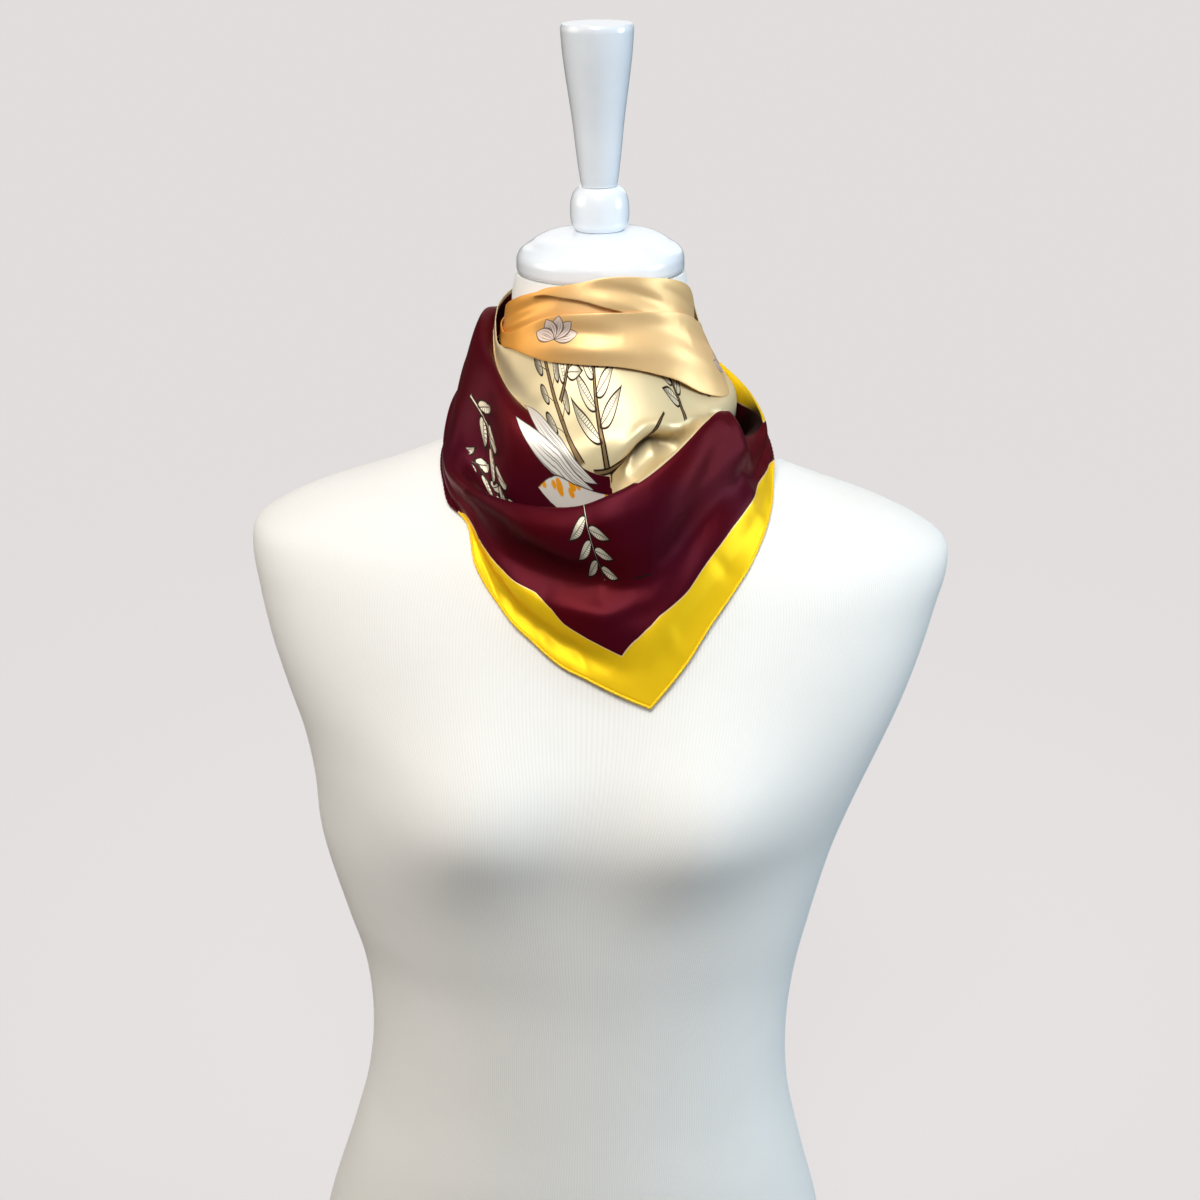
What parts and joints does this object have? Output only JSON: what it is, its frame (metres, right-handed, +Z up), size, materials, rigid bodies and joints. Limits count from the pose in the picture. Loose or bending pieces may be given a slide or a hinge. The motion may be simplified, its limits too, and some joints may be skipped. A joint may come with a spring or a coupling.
{
  "type": "silk square scarf on a dress form",
  "caption": "Square scarf folded corner-down and worn as a soft cowl with pleats at the neck, on a limbless dress form with a turned neck cap and finial.",
  "frame": {"origin": "middle of the base board's underside, below the neck's axis", "axes": "+Z up, along the neck; the chest and the scarf's corner face -Y; +X is the form's own left, which is on the right in a front view"},
  "size_m": [0.4047, 0.2451, 0.8454],
  "materials": {
    "jersey": "matt off-white ribbed jersey",
    "board": "plain painted board",
    "white_paint": "glossy white paint on turned wood",
    "maroon_silk": "printed satin",
    "cream_silk": "printed satin",
    "peach_silk": "printed satin"
  },
  "bodies": {
    "root": {"torso": "jersey", "base_board": "board", "neck_cap": "white_paint", "finial_ball": "white_paint", "finial_cone": "white_paint", "cowl_inner": "cream_silk", "front_drape": "maroon_silk", "left_wrap": "maroon_silk", "right_wrap": "cream_silk", "neck_band_top": "peach_silk", "neck_band_middle": "peach_silk", "neck_band_lower": "peach_silk", "nape_knot": "maroon_silk", "left_tail": "maroon_silk", "right_tail": "maroon_silk"}
  },
  "joints": []
}
